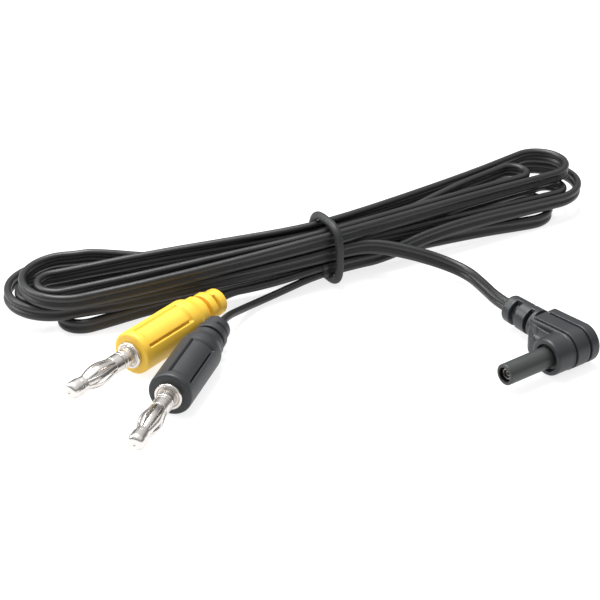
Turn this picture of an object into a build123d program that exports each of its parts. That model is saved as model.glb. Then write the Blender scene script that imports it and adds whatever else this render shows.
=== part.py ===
from build123d import *
import os
from math import acos, atan2, cos, degrees, hypot, radians, sin, sqrt, tan
import numpy as np

# Twin test lead: a figure-eight cord wound in a hank under one rubber ring, with a right-angle
# shrouded plug on one end and two 4 mm banana plugs on the split other end. Everything lies on
# the bench, z = 0. Lengths are in mm and angles in degrees. +X is right, +Y is away, +Z is up.
CENTRE = (1.2, -4.05)        # bench point below the middle of the whole lead: the row's origin

# ---- cord -----------------------------------------------------------------------------------
LEAD_D = 1.75                # one insulated conductor of the twin
TWIN_H = 2 * LEAD_D          # the twin stands on edge, so this is its height
WEB_T = 0.8                  # thickness of the web between the two conductors
TOP_W = 1.3                  # flat at the top and bottom of the faceted section
SINGLE_D = 1.7               # a conductor once it is torn off the twin
COPPER_D = 0.7               # stripped copper at the ends

# ---- hank -----------------------------------------------------------------------------------
TIE_AT = (5.9, 10.4)         # middle of the waist, where the ring sits
TIE_DIR = 30.0               # direction of the cords through the ring
WAIST = 6.0                  # half the straight length of the waist
END = 3.0                    # the first and last pass stop here, short of the waist's end
COLUMN_PITCH = 2.3           # from one column of cords to the next, front to back
LAYER_PITCH = 4.01           # from one layer to the next, bottom to top
LIFT = 2.3                   # the ring passes under the cords, so it lifts them off the bench
LIFT_REACH = 62.0            # distance from the ring at which they are down again
LEAN = {"L": 0.11, "R": 0.03}    # the waist's ends are mitred for the bend on each side
ARC_SHARE = 0.97             # share of a turn's edge that its arc takes
EASE = 0.2                   # share of a run that the arc at a gentle corner takes
TURN_CORNERS = 2             # a turn is this many arcs, each about a quarter turn
COLUMN = {"front": -1.5, "mid_front": -0.5, "mid_back": 0.5, "back": 1.5}
PASSES = [("front", 1), ("back", 0), ("mid_front", 0), ("mid_back", 0), ("mid_front", 1),
          ("mid_back", 1), ("mid_front", 2), ("back", 2), ("front", 2), ("back", 1), ("front", 0)]
# One loop after each pass: side, centre of its turn, radius, layer, how far its first and second
# run bulge back (right) or forward (left), and where on each run a climb begins and ends.
LOOPS = [
    ("L", (-54.2, -5.9), 10.5, 1, -0.6, 0.8, (0.30, 0.70), (0.45, 0.88)),
    ("R", (54.4, 40.0), 5.9, 0, 0.4, 0.9, (0.30, 0.70), (0.30, 0.70)),
    ("L", (-47.6, -11.6), 6.5, 0, -0.5, 0.6, (0.30, 0.70), (0.30, 0.70)),
    ("R", (60.3, 45.5), 3.8, 1, -0.3, -0.4, (0.12, 0.62), (0.30, 0.70)),
    ("L", (-56.2, -8.1), 5.0, 1, -0.5, 0.4, (0.30, 0.70), (0.30, 0.70)),
    ("R", (51.5, 44.1), 3.4, 2.04, -0.2, 0.2, (0.12, 0.62), (0.30, 0.70)),
    ("L", (-53.0, -8.0), 4.2, 2, -0.4, -0.8, (0.30, 0.70), (0.30, 0.60)),
    ("R", (58.5, 49.9), 6.6, 2, 0.6, 0.3, (0.30, 0.70), (0.30, 0.70)),
    ("L", (-51.0, -7.0), 10.0, 2, -0.6, 0.9, (0.30, 0.70), (0.45, 0.88)),
    ("R", (58.0, 46.2), 9.0, 1, 0.5, -0.6, (0.30, 0.70), (0.12, 0.42)),
]

# ---- ring that holds the hank ---------------------------------------------------------------
TIE_D = 1.9                  # round rubber section
TIE_CLEAR = 0.35             # between the ring and the cords
TIE_SLACK = 0.65             # the ring stands off a little more at its sides

# ---- banana plugs: measured from the grip's front face, + toward the lead -------------------
GRIP_L, GRIP_R, GRIP_EDGE = 28.8, 4.75, 0.6
SHOULDER_Z, NECK_Z, NECK_R = 18.2, 19.8, 3.9     # where the body ends and the neck begins
TAIL_R, TAIL_END_R = 3.3, 2.95
RING_SLOT_Z, RING_SLOT_W, RING_SLOT_R = 22.0, 1.0, 2.4      # groove all round
SIDE_SLOT_Z, SIDE_SLOT_W, SIDE_SLOT_DEPTH = 25.2, 1.0, 1.5  # pair of slots from the sides
PANEL_FROM, PANEL_TO, PANEL_W, PANEL_TURN = 1.9, 15.4, 5.4, 25.0
PANEL_GROOVE, PANEL_DEPTH = 0.45, 0.35
FLANGE_R, FLANGE_T = 3.0, 0.9
SHANK_R, SHANK_L = 2.0, 3.9
STEM_R, PIN_L = 1.3, 19.0
TAIL_PIN_R, TAIL_PIN_L = 1.7, 9.0                # hidden in the grip, the wire soldered to its end
CAP_R, CAP_L, CAP_WALL, RIVET_R = 1.9, 3.1, 1.3, 0.4
SPRING_FIT = 0.06            # radial clearance of the cage's collars on the stem
SPRING_END_GAP = 0.1         # end play of the cage on each side
COLLAR_R, NOSE_COLLAR_R, BULGE_R = 1.95, 1.72, 2.45     # rear and front collar, widest place
LEAF_T, LEAF_W, LEAF_SINK = 0.2, 1.0, 0.15      # a leaf's face lies a little below its collars
BOW_SHARE = 0.36             # share of a leaf's length that rises, and again that falls
COLLAR_REAR_L, COLLAR_FRONT_L = 2.3, 1.2
LEAVES = 8
BANANA = {                   # where the lead enters on the bench, direction from tip to lead
    "yellow": ((-18.13, -8.53), 52.9),
    "black": ((-17.70, -20.18), 72.2),
}

# ---- right-angle plug: x toward the cord, y toward the tip, from where the two axes cross ---
ELBOW_AT, ELBOW_DIR, ELBOW_Z = (58.3, -27.2), 127.0, 4.4
BODY_R, BODY_BACK, BODY_FRONT = 4.35, 3.6, 3.9   # round end, back face, front of the block
BLOCK_L, BLOCK_END_H = 9.7, 7.2                  # the block narrows toward the cord
BOSS_R, BOSS_Y = 4.2, 8.6
WEB_X, WEB_Y, WEB_H = 9.4, 7.4, 5.2              # web in the inner corner
BAND_AT, BAND_W, BAND_DEPTH = (-1.0, 3.2), 0.5, 0.4
EDGE = 0.8
RELIEF_L, RELIEF_ROOT_R, RELIEF_END_R = 20.1, 3.6, 3.1
RELIEF_SLOTS = ((11.0, 1.0, "z"), (14.4, 1.2, "y"), (17.6, 0.9, "z"))   # place, width, cut from
RELIEF_CORE = 1.9
SHROUD_R, SHROUD_BORE, SHROUD_ROOT, SHROUD_TIP = 2.35, 1.6, 4.6, 20.1
COLLAR_OUT_R = 2.8                               # hidden collar at the shroud's root
MOAT_R, MOAT_DEPTH = 3.3, 0.9                    # recess in the boss round the shroud
BARREL_R, BARREL_BORE, BARREL_REAR, BARREL_TIP = 1.175, 0.95, 0.6, 19.4
CORE_R, CORE_BORE, CORE_BORE_L, CORE_REAR, CORE_TIP = 0.6, 0.35, 6.0, -0.9, 19.0
TAG_X, TAG_BACK = 2.4, -0.7

# ---- routes of the free leads: control points on the bench, height last ---------------------
ELBOW_ROUTE = [(13.0, 10.5, 8.06), (18.5, 11.3, 7.7), (26.0, 10.9, 6.2), (33.0, 10.4, 4.0),
               (38.4, 7.0, 3.0), (41.3, -0.2, 3.5)]
YELLOW_ROUTE = [(2.0, 4.1, 4.92), (-4.0, 0.9, 4.5), (-10.5, -2.3, 4.3)]
BLACK_ROUTE = [(2.0, 4.1, 3.17), (-3.0, 0.9, 2.3), (-8.5, -2.6, 1.4), (-12.9, -8.4, 2.4)]
LAST_RUN = 4.3               # straight run into each plug


# ---- small helpers --------------------------------------------------------------------------
def unit(angle):
    return np.array([cos(radians(angle)), sin(radians(angle))])


def corner_turn(before, here, after):
    """Angle, in radians, by which a route turns at a corner."""
    first, second = np.subtract(here, before), np.subtract(after, here)
    share = np.dot(first, second) / np.linalg.norm(first) / np.linalg.norm(second)
    return acos(max(-1.0, min(1.0, share)))


def rounded(points, fixed=None, share=0.45):
    """Route of straight runs and tangent arcs. A corner in fixed has its own radius."""
    fixed = fixed or {}
    corners = range(1, len(points) - 1)
    turns = {i: corner_turn(points[i - 1], points[i], points[i + 1]) for i in corners}
    taken = {i: fixed[i] * tan(turns[i] / 2) for i in fixed}

    def free(i, j):
        """Length of the run from corner i to corner j that a fixed arc at j leaves."""
        return float(np.linalg.norm(np.subtract(points[i], points[j]))) - taken.get(j, 0.0)

    radii = [fixed.get(i, share * min(free(i, i - 1), free(i, i + 1)) / tan(turns[i] / 2))
             for i in corners]
    return FilletPolyline(*[tuple(p) for p in points], radius=radii), radii


def swept(path, outline, start, heading):
    """Sweep of an outline, given as (up, sideways) points, along a path that starts level."""
    at = Plane(origin=tuple(start), x_dir=(0, 0, 1), z_dir=tuple(heading))
    section = at * make_face(Polyline(*outline, close=True))
    return sweep(section, path=path), section.area


def twin_outline():
    """Two conductors, one above the other, faceted, with the groove between them."""
    side = [(LEAD_D, TOP_W / 2), (0, WEB_T / 2), (-LEAD_D, TOP_W / 2)]
    return side + [(up, -out) for up, out in side[::-1]]


def single_outline():
    """One conductor, with six sides."""
    r = SINGLE_D / 2
    return [(r * cos(radians(a)), r * sin(radians(a))) for a in range(0, 360, 60)]


def revolved(profile):
    """Solid of revolution about Z. The profile is a list of (radius, z)."""
    outline = Polyline(*[(radius, 0, z) for radius, z in profile], close=True)
    return revolve(make_face(outline), axis=Axis.Z)


def tube(outer, inner, start, end):
    return (Pos(0, 0, start) * Cylinder(outer, end - start, align=(Align.CENTER,) * 2 + (Align.MIN,))
            - Pos(0, 0, start) * Cylinder(inner, end - start, align=(Align.CENTER,) * 2 + (Align.MIN,)))


def rod(radius, start, end):
    return Pos(0, 0, start) * Cylinder(radius, end - start, align=(Align.CENTER,) * 2 + (Align.MIN,))


def strand(start, end):
    """Stripped copper strand, tinned to a six-sided bar."""
    bar = extrude(RegularPolygon(COPPER_D / 2, 6), end - start)
    return Pos(0, 0, start) * bar


# ---- hank -----------------------------------------------------------------------------------
ALONG, ACROSS = unit(TIE_DIR), unit(TIE_DIR + 90)


def layer_z(layer):
    return TWIN_H / 2 + LAYER_PITCH * layer


def lifted(spot, z):
    """Point above a bench spot, raised where the ring is under the cords."""
    away = abs(float(np.dot(np.subtract(spot[:2], TIE_AT), ALONG)))
    share = min(1.0, max(0.0, 1 - (away - WAIST) / (LIFT_REACH - WAIST)))
    return np.array([spot[0], spot[1], z + LIFT * share])


def waist_end(number, side):
    """Where pass number leaves the straight waist on one side, or stops, if it is an end."""
    column, layer = PASSES[number]
    across = COLUMN[column] * COLUMN_PITCH
    reach = WAIST - across * LEAN[side]
    return lifted(np.array(TIE_AT) + ALONG * (reach if side == "R" else -reach)
                  + ACROSS * across, layer_z(layer))


def cord_end(number, side):
    """Free end of the first or last pass, between the ring and the waist's end."""
    column, layer = PASSES[number]
    away = END if side == "R" else -END
    return lifted(np.array(TIE_AT) + ALONG * away + ACROSS * COLUMN[column] * COLUMN_PITCH,
                  layer_z(layer))


def tangent_angle(spot, centre, radius, sign):
    """Direction from a turn's centre to where the line from a spot touches the turn."""
    gap = spot[:2] - centre
    return degrees(atan2(gap[1], gap[0])) + sign * degrees(acos(radius / hypot(*gap)))


def run_points(near, spot, near_layer, far_layer, bulge, climb, side):
    """Two points on the run from the waist to a turn, with its bulge and its climb."""
    way = spot - near[:2]
    left = np.array([-way[1], way[0]]) / hypot(*way) * (1 if side == "R" else -1)
    return [lifted(near[:2] + way * share + left * bulge * part, layer_z(layer))
            for share, part, layer in ((climb[0], 0.6, near_layer), (climb[1], 1.0, far_layer))]


def loop_points(number, corners):
    """Control points of one loop between two passes, and where among them its turn lies."""
    side, centre, radius, layer, bulge_in, bulge_out, climb_in, climb_out = LOOPS[number]
    centre = np.array(centre)
    start, stop = waist_end(number, side), waist_end(number + 1, side)
    first = tangent_angle(start, centre, radius, -1)
    last = tangent_angle(stop, centre, radius, +1)
    while last > first:
        last -= 360
    step = (first - last) / corners
    reach = radius / cos(radians(step / 2))
    turn = [lifted(centre + reach * unit(first - (k + 0.5) * step), layer_z(layer))
            for k in range(corners)]
    run_in = run_points(start, centre + radius * unit(first), PASSES[number][1], layer,
                        bulge_in, climb_in, side)
    run_out = run_points(stop, centre + radius * unit(last), PASSES[number + 1][1], layer,
                         bulge_out, climb_out, side)
    return [start, *run_in, *turn, *run_out[::-1], stop]


def hank_route():
    points, fixed = [cord_end(0, "R")], {}
    for number, loop in enumerate(LOOPS):
        added = loop_points(number, TURN_CORNERS)
        for k in range(TURN_CORNERS):
            fixed[len(points) + 3 + k] = loop[2] * ARC_SHARE
        points += added
    return points + [cord_end(len(PASSES) - 1, "L")], fixed


def least_gap(path, outline, skip=9.0, pitch=0.3):
    """Least distance between two stretches of the upright twin, between outline points."""
    spots = []
    for edge in path.edges():
        count = max(1, round(edge.length / pitch))
        spots += [tuple(edge @ (k / count)) for k in range(count)]
    spots, outline = np.array(spots), np.array(outline)
    way = np.gradient(spots, axis=0)
    run = np.cumsum(np.linalg.norm(way, axis=1))
    aside = np.cross(way, (0, 0, 1))
    aside /= np.linalg.norm(aside, axis=1)[:, None]
    ring = np.vstack([outline, (outline + np.roll(outline, 1, axis=0)) / 2])
    skin = spots[:, None] + aside[:, None] * ring[:, 1:] + ring[:, :1] * np.array([0, 0, 1])
    reach = 1.5 * TWIN_H
    least = reach
    for i, spot in enumerate(spots):
        near = (np.abs(run - run[i]) > skip) & (np.linalg.norm(spots - spot, axis=1) < reach)
        if near.any():
            apart = skin[near].reshape(-1, 1, 3) - skin[i]
            least = min(least, sqrt((apart ** 2).sum(-1).min()))
    return least


def hank():
    points, fixed = hank_route()
    path, radii = rounded(points, fixed, EASE)
    solid, area = swept(path, twin_outline(), points[0], (*(-ALONG), 0))
    report("hank", path, radii, solid, area)
    print("hank: least gap to itself %.2f mm" % least_gap(path, twin_outline()))
    return solid


def report(name, path, radii, solid, area):
    print("%s: length %.0f mm, radii %.1f to %.0f mm, volume over section times length %.3f"
          % (name, path.length, min(radii), max(radii), solid.volume / area / path.length))


def hank_tie():
    """Rubber ring round the waist: a closed round tube, nearly a rounded rectangle."""
    r, clear = TIE_D / 2, TIE_CLEAR + TIE_D / 2
    half_w = COLUMN["back"] * COLUMN_PITCH + LEAD_D / 2 + clear + TIE_SLACK
    half_h = LAYER_PITCH + TWIN_H / 2 + clear
    corner = np.array([COLUMN["back"] * COLUMN_PITCH, LAYER_PITCH + LEAD_D / 2])
    cut = (corner.sum() / sqrt(2) + LEAD_D / 2 + clear) * sqrt(2)     # width plus height there
    knee_w, knee_h = cut - half_h, cut - half_w
    outline = [(half_h, knee_w), (knee_h, half_w), (-knee_h, half_w),
               (-half_h, knee_w), (-half_h, -knee_w), (-knee_h, -half_w), (knee_h, -half_w),
               (half_h, -knee_w)]
    edge = hypot(half_h - knee_h, half_w - knee_w)
    radius = 0.3 * edge / tan(corner_turn(outline[0], outline[1], outline[2]) / 2)
    ring = Plane(origin=(*TIE_AT, layer_z(1) + LIFT), x_dir=(0, 0, 1), z_dir=(*ALONG, 0))
    path = ring * FilletPolyline(*outline, radius=radius, close=True)
    start = path @ 0
    section = Plane(origin=start, z_dir=path % 0) * RegularPolygon(r, 6)
    return sweep(section, path=path)


# ---- banana plugs ---------------------------------------------------------------------------
def grip():
    """Moulded grip with its slotted tail and the frame of a plain panel."""
    e = GRIP_EDGE
    slot_end = RING_SLOT_Z + RING_SLOT_W
    body = revolved([(0, 0), (GRIP_R - e, 0), (GRIP_R, e), (GRIP_R, SHOULDER_Z),
                     (NECK_R, NECK_Z), (NECK_R, RING_SLOT_Z), (RING_SLOT_R, RING_SLOT_Z),
                     (RING_SLOT_R, slot_end), (TAIL_R, slot_end), (TAIL_R, SIDE_SLOT_Z),
                     (TAIL_END_R, SIDE_SLOT_Z), (TAIL_END_R, GRIP_L), (0, GRIP_L)])
    for side in (-1, 1):
        body -= Pos(0, side * (TAIL_R - SIDE_SLOT_DEPTH + TAIL_R), SIDE_SLOT_Z) * Box(
            4 * TAIL_R, 2 * TAIL_R, SIDE_SLOT_W, align=(Align.CENTER, Align.CENTER, Align.MIN))
    return body - Rot(0, 0, PANEL_TURN) * panel_frame()


def panel_frame():
    """Three-sided groove, open toward the tip, cut a little into the body at +X."""
    length = PANEL_TO - PANEL_FROM
    place = Pos(GRIP_R * cos(PANEL_W / 2 / GRIP_R) - PANEL_DEPTH, 0, PANEL_FROM)
    low = (Align.MIN, Align.CENTER, Align.MIN)
    whole = Box(GRIP_R, PANEL_W, length, align=low)
    inner = Box(GRIP_R, PANEL_W - 2 * PANEL_GROOVE, length - PANEL_GROOVE, align=low)
    keep = rod(GRIP_R - PANEL_DEPTH, PANEL_FROM - 1, PANEL_TO + 1)
    return place * (whole - inner) - keep


def core_pin():
    """Turned pin: flange, shank, stem for the spring, and a tail inside the grip."""
    stem_end = CAP_L - PIN_L
    return revolved([(0, stem_end), (STEM_R, stem_end), (STEM_R, -SHANK_L), (SHANK_R, -SHANK_L),
                     (SHANK_R, -FLANGE_T), (FLANGE_R, -FLANGE_T), (FLANGE_R, 0),
                     (TAIL_PIN_R, 0), (TAIL_PIN_R, TAIL_PIN_L), (0, TAIL_PIN_L)])


def tip_cap():
    """Riveted head on the end of the stem."""
    root = CAP_L - PIN_L
    return revolved([(0, root), (CAP_R, root), (CAP_R, root - CAP_WALL), (RIVET_R, -PIN_L),
                     (0, -PIN_L)])


def spring_cage():
    """Lantern spring: two collars joined by bowed leaves."""
    front, rear = CAP_L - PIN_L + SPRING_END_GAP, -SHANK_L - SPRING_END_GAP
    bore = STEM_R + SPRING_FIT
    bow_front, bow_rear = front + COLLAR_FRONT_L, rear - COLLAR_REAR_L
    cage = tube(NOSE_COLLAR_R, bore, front, bow_front) + tube(COLLAR_R, bore, bow_rear, rear)
    nose, root, top = NOSE_COLLAR_R - LEAF_SINK, COLLAR_R - LEAF_SINK, BULGE_R
    bow = bow_rear - bow_front
    faces = [(bow_front - LEAF_SINK, nose), (bow_front + BOW_SHARE * bow, top),
             (bow_rear - BOW_SHARE * bow, top), (bow_rear + LEAF_SINK, root)]
    outer = [(r, 0, z) for z, r in faces]
    inner = [(r - LEAF_T, 0, z) for z, r in faces]
    leaf = extrude(make_face(Polyline(*outer, *inner[::-1], close=True)), LEAF_W / 2, both=True)
    for k in range(LEAVES):
        cage += Rot(0, 0, 360 / LEAVES * k) * leaf
    return cage


def banana(colour):
    """Nodes of one plug, on the bench."""
    entry, heading = BANANA[colour]
    face = np.array(entry) - unit(heading) * GRIP_L
    at = Plane(origin=(*face, GRIP_R), x_dir=(0, 0, 1), z_dir=(*unit(heading), 0))
    wire = strand(TAIL_PIN_L, GRIP_L)
    body = grip() - rod(TAIL_PIN_R, 0, TAIL_PIN_L) - wire
    pieces = {"grip": body, "core_pin": core_pin(), "spring_cage": spring_cage(),
              "tip_cap": tip_cap(), "conductor": wire}
    return {"%s_%s" % (colour, name): at * piece for name, piece in pieces.items()}


# ---- right-angle plug -----------------------------------------------------------------------
def turned_y(shape):
    """Shape made along +Z, laid along the tip's axis, +Y."""
    return Rot(-90, 0, 0) * shape


def turned_x(shape):
    """Shape made along +Z, laid along the cord's axis, +X."""
    return Rot(0, 90, 0) * shape


def block(grow, start, end):
    """Block with one round end, seen along the tip's axis, between two places on that axis."""
    r, half = BODY_R + grow, BLOCK_END_H / 2 + grow
    outline = Wire([ThreePointArc((0, r), (-r, 0), (0, -r)), Line((0, -r), (BLOCK_L, -half)),
                    Line((BLOCK_L, -half), (BLOCK_L, half)), Line((BLOCK_L, half), (0, r))])
    face = Plane(origin=(0, start, 0), x_dir=(1, 0, 0), z_dir=(0, 1, 0)) * make_face(outline)
    return extrude(face, end - start)


def elbow_body(inner):
    """Overmould: block, boss, web and a ribbed strain relief, hollow for the inner pieces."""
    body = block(0, -BODY_BACK, BODY_FRONT)
    back = body.edges().filter_by_position(Axis.Y, -BODY_BACK - 0.01, -BODY_BACK + 0.01)
    body = chamfer(back, EDGE)
    for at in BAND_AT:
        body -= block(1, at, at + BAND_W) - block(-BAND_DEPTH, at, at + BAND_W)
    body += turned_y(rod(BOSS_R, BODY_FRONT, BOSS_Y))
    web = Polyline((0, 0), (WEB_X, 0), (WEB_X, BODY_FRONT), (WEB_X - WEB_Y + BODY_FRONT, WEB_Y),
                   (0, WEB_Y), close=True)
    body += Pos(0, 0, -WEB_H / 2) * extrude(make_face(web), WEB_H)
    ribs = [BLOCK_L, *[place for place, width, side in RELIEF_SLOTS], RELIEF_L]
    for k, (start, end) in enumerate(zip(ribs, ribs[1:])):
        radius = RELIEF_ROOT_R + (RELIEF_END_R - RELIEF_ROOT_R) * k / len(RELIEF_SLOTS)
        body += turned_x(rod(radius, start, end))
    for place, width, side in RELIEF_SLOTS:
        for sign in (-1, 1):
            shift = sign * (RELIEF_CORE + RELIEF_ROOT_R)
            spot = Pos(place, 0, shift) if side == "z" else Pos(place, shift, 0)
            body -= spot * Box(width, *((4 * RELIEF_ROOT_R, 2 * RELIEF_ROOT_R)
                                        if side == "z" else (2 * RELIEF_ROOT_R, 4 * RELIEF_ROOT_R)))
    body -= turned_y(rod(MOAT_R, BOSS_Y - MOAT_DEPTH, BOSS_Y))
    for piece in inner:
        body -= piece
    return body


def shroud():
    """Insulating sleeve, held in the boss by its collar."""
    root = BOSS_Y - MOAT_DEPTH
    return turned_y(tube(COLLAR_OUT_R, SHROUD_BORE, SHROUD_ROOT, root)
                    + tube(SHROUD_R, SHROUD_BORE, root, SHROUD_TIP))


def contact_barrel():
    """Outer contact, a thin tube, with a solder tag behind it."""
    tag = Box(TAG_X + CORE_R, BARREL_REAR - TAG_BACK, BARREL_R - 0.75,
              align=(Align.MIN, Align.MIN, Align.MIN))
    return (turned_y(tube(BARREL_R, BARREL_BORE, BARREL_REAR, BARREL_TIP))
            + Pos(-CORE_R, TAG_BACK, 0.75) * tag)


def contact_insulator():
    return turned_y(tube(BARREL_BORE, CORE_R, BARREL_REAR, CORE_TIP))


def centre_contact():
    """Inner contact, bored for the socket's pin, with a solder tag below."""
    tag = Pos(0, CORE_REAR, -BARREL_R) * Box(TAG_X, 1.0, BARREL_R - 0.2,
                                             align=(Align.MIN, Align.MIN, Align.MIN))
    return (turned_y(rod(CORE_R, CORE_REAR, CORE_TIP)) + tag
            - turned_y(rod(CORE_BORE, CORE_TIP - CORE_BORE_L, CORE_TIP + 1)))


def elbow_conductors():
    wires = [Pos(0, 0, side * LEAD_D / 2) * turned_x(strand(TAG_X, RELIEF_L))
             for side in (-1, 1)]
    return Compound(children=wires)


def elbow_plug():
    at = Plane(origin=(*ELBOW_AT, ELBOW_Z), x_dir=(*unit(ELBOW_DIR), 0), z_dir=(0, 0, 1))
    inner = [turned_y(rod(COLLAR_OUT_R, SHROUD_ROOT, BOSS_Y - MOAT_DEPTH)),
             turned_y(rod(BARREL_R, BARREL_REAR, SHROUD_ROOT)), contact_barrel(), centre_contact()]
    wires = elbow_conductors()
    body = elbow_body([*inner, *wires.children])
    pieces = {"elbow_body": body, "shroud": shroud(), "contact_barrel": contact_barrel(),
              "contact_insulator": contact_insulator(), "centre_contact": centre_contact(),
              "elbow_conductors": wires}
    return {name: at * piece for name, piece in pieces.items()}


# ---- free leads -----------------------------------------------------------------------------
def lead(name, outline, start, heading, middle, end, arrive):
    """Tube from the hank's end to a plug, whose last run is straight into the plug."""
    last = np.subtract(end, np.multiply(arrive, LAST_RUN))
    points = [start, *middle, last, end]
    path, radii = rounded(points)
    solid, area = swept(path, outline, start, heading)
    report(name, path, radii, solid, area)
    return solid


def leads():
    first, last = cord_end(0, "R"), cord_end(len(PASSES) - 1, "L")
    toward_cord = unit(ELBOW_DIR)
    elbow_end = (*(np.array(ELBOW_AT) + toward_cord * RELIEF_L), ELBOW_Z)
    nodes = {"elbow_lead": lead("elbow_lead", twin_outline(), first, (*ALONG, 0), ELBOW_ROUTE,
                                elbow_end, (*(-toward_cord), 0))}
    for colour, route, side in (("yellow", YELLOW_ROUTE, 1), ("black", BLACK_ROUTE, -1)):
        entry, heading = BANANA[colour]
        end = (*entry, GRIP_R)
        start = last + (0, 0, side * LEAD_D / 2)
        nodes[colour + "_lead"] = lead(colour + "_lead", single_outline(), start, (*(-ALONG), 0),
                                       route, end, (*-unit(heading), 0))
    return nodes


# ---- write ----------------------------------------------------------------------------------
def main():
    os.makedirs("parts", exist_ok=True)
    nodes = {"hank": hank(), "hank_tie": hank_tie(), **leads(), **elbow_plug()}
    for colour in BANANA:
        nodes.update(banana(colour))
    for name, shape in nodes.items():
        export_step(shape.moved(Location((-CENTRE[0], -CENTRE[1], 0))), "parts/%s.step" % name)
    for name, shape in nodes.items():
        box = shape.bounding_box()
        print("%-24s from %6.1f %6.1f %6.2f to %6.1f %6.1f %6.2f" % (name, *box.min, *box.max))


main()
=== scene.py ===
# %% [markdown]
# # A wound test lead, dressed over its CAD frame
#
# The object is a two-conductor test lead, as an electronics bench has them: a small right-angle
# plug at one end, two banana plugs at the other, and a metre and a half of flat twin cord between
# them, wound in a hank under a rubber ring. The CAD model already has every piece at its place.
# This script gives each piece the skin that a hand and an eye would find on the real one.
#
# The first cell loads the frame.

# %% Load the frame
from math import acos, atan2, cos, degrees, hypot, pi, radians, sin
import bmesh
import bpy
import numpy as np
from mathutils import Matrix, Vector


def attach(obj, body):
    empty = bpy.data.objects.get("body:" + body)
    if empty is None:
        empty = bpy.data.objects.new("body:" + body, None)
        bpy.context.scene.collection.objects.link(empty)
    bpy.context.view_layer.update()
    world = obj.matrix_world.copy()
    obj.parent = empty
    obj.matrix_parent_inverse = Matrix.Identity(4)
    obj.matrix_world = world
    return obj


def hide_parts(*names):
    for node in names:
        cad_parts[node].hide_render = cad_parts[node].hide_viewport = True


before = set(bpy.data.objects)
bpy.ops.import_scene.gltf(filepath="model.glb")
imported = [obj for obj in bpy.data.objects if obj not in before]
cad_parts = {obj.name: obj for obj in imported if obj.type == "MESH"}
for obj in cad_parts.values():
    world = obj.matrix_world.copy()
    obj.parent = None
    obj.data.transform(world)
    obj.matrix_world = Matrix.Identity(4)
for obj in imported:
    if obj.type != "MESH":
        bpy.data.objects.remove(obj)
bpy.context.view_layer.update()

# %% [markdown]
# ## One ruler for the bench
#
# Places on the bench are written in millimetres, as in the CAD source, and turned into the
# frame's metres by one function. The frame's origin is on the bench, under the middle of the lead.

# %% Bench places
MM = 0.001
MIDDLE = np.array([1.2, -4.05, 0.0])


def row(places):
    """Places on the bench, in mm, as points of the frame: shifted to its origin, then in metres."""
    return (np.asarray(places, float) - MIDDLE) * MM


def unit(angle):
    """Direction on the bench, angle degrees to the left of +X."""
    return np.array([cos(radians(angle)), sin(radians(angle))])


# %% [markdown]
# ## Camera
#
# A product shot from a little above: 30 degrees down, from far enough away that the cords keep
# their thickness from front to back. A long lens gives that. The camera looks at a bench place.

# %% Camera
CAMERA_AT, LOOK_AT, LENS, SENSOR = (0, -385.6, 218.1), (0, 0, 0), 118.0, 36.0

camera = bpy.data.objects.new("camera", bpy.data.cameras.new("camera"))
bpy.context.scene.collection.objects.link(camera)
camera.location = row(CAMERA_AT)
camera.rotation_euler = Vector(row(LOOK_AT) - row(CAMERA_AT)).to_track_quat("-Z", "Y").to_euler()
camera.data.lens, camera.data.sensor_width = LENS, SENSOR
camera.data.clip_start, camera.data.clip_end = 0.01, 20.0
bpy.context.scene.camera = camera
print("camera stands %.0f mm from the bench's middle" % hypot(*CAMERA_AT))

# %% [markdown]
# ## Surfaces from grids
#
# Nearly every piece below is a surface in two parameters: how far along it, and how far around.
# numpy works out all of its points at once, as a grid of rows, and one function joins
# neighbouring points into four-sided faces. A row may close into a ring, and the last row may
# meet the first. An open tube gets a fan over each end, so that every piece is watertight.

# %% Grid to mesh
WELD = 1e-7


def skin(name, grid, loop=False, ride="lead", slot=None, lay=None):
    """Mesh over grid[i, j]: row i is a ring of points, and rows are joined in order. With loop the
    last row meets the first, otherwise a fan from each end row's mean closes the ends.
    lay, of the grid's shape, is kept as an attribute that materials can follow."""
    n, m = grid.shape[:2]
    index = np.arange(n * m).reshape(n, m)
    upper = np.roll(index, -1, axis=0) if loop else index[1:]
    lower = index if loop else index[:-1]
    quads = np.stack([lower, np.roll(lower, -1, 1), np.roll(upper, -1, 1), upper], -1)
    faces = quads.reshape(-1, 4).tolist()
    points = grid.reshape(-1, 3)
    if not loop:
        for k, ring in enumerate((index[0], index[-1])):
            points = np.vstack([points, points[ring].mean(0)])
            fan = np.stack([ring, np.roll(ring, -1), np.full(m, len(points) - 1)], -1)
            faces += (fan if k else fan[:, ::-1]).tolist()
    mesh = bpy.data.meshes.new(name)
    mesh.from_pydata(points, [], faces)
    if lay is not None:
        values = np.vstack([lay.reshape(-1, 3), np.zeros((len(points) - n * m, 3))])
        kept = mesh.attributes.new("lay", "FLOAT_VECTOR", "POINT")
        kept.data.foreach_set("vector", values.ravel())
    return finished(name, mesh, ride)


def finished(name, mesh, ride):
    """Object for a mesh: doubled points welded, faces turned outwards and shaded smooth. It rides
    on its body."""
    work = bmesh.new()
    work.from_mesh(mesh)
    bmesh.ops.remove_doubles(work, verts=work.verts, dist=WELD)
    bmesh.ops.recalc_face_normals(work, faces=work.faces)
    work.to_mesh(mesh)
    work.free()
    mesh.shade_smooth()
    piece = bpy.data.objects.new(name, mesh)
    bpy.context.scene.collection.objects.link(piece)
    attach(piece, ride)
    print("%s: %d faces" % (name, len(mesh.polygons)))
    return piece


def joined(name, pieces):
    """Several objects as one, with the given name."""
    with bpy.context.temp_override(active_object=pieces[0], selected_editable_objects=pieces):
        bpy.ops.object.join()
    pieces[0].name = pieces[0].data.name = name
    return pieces[0]


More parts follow.
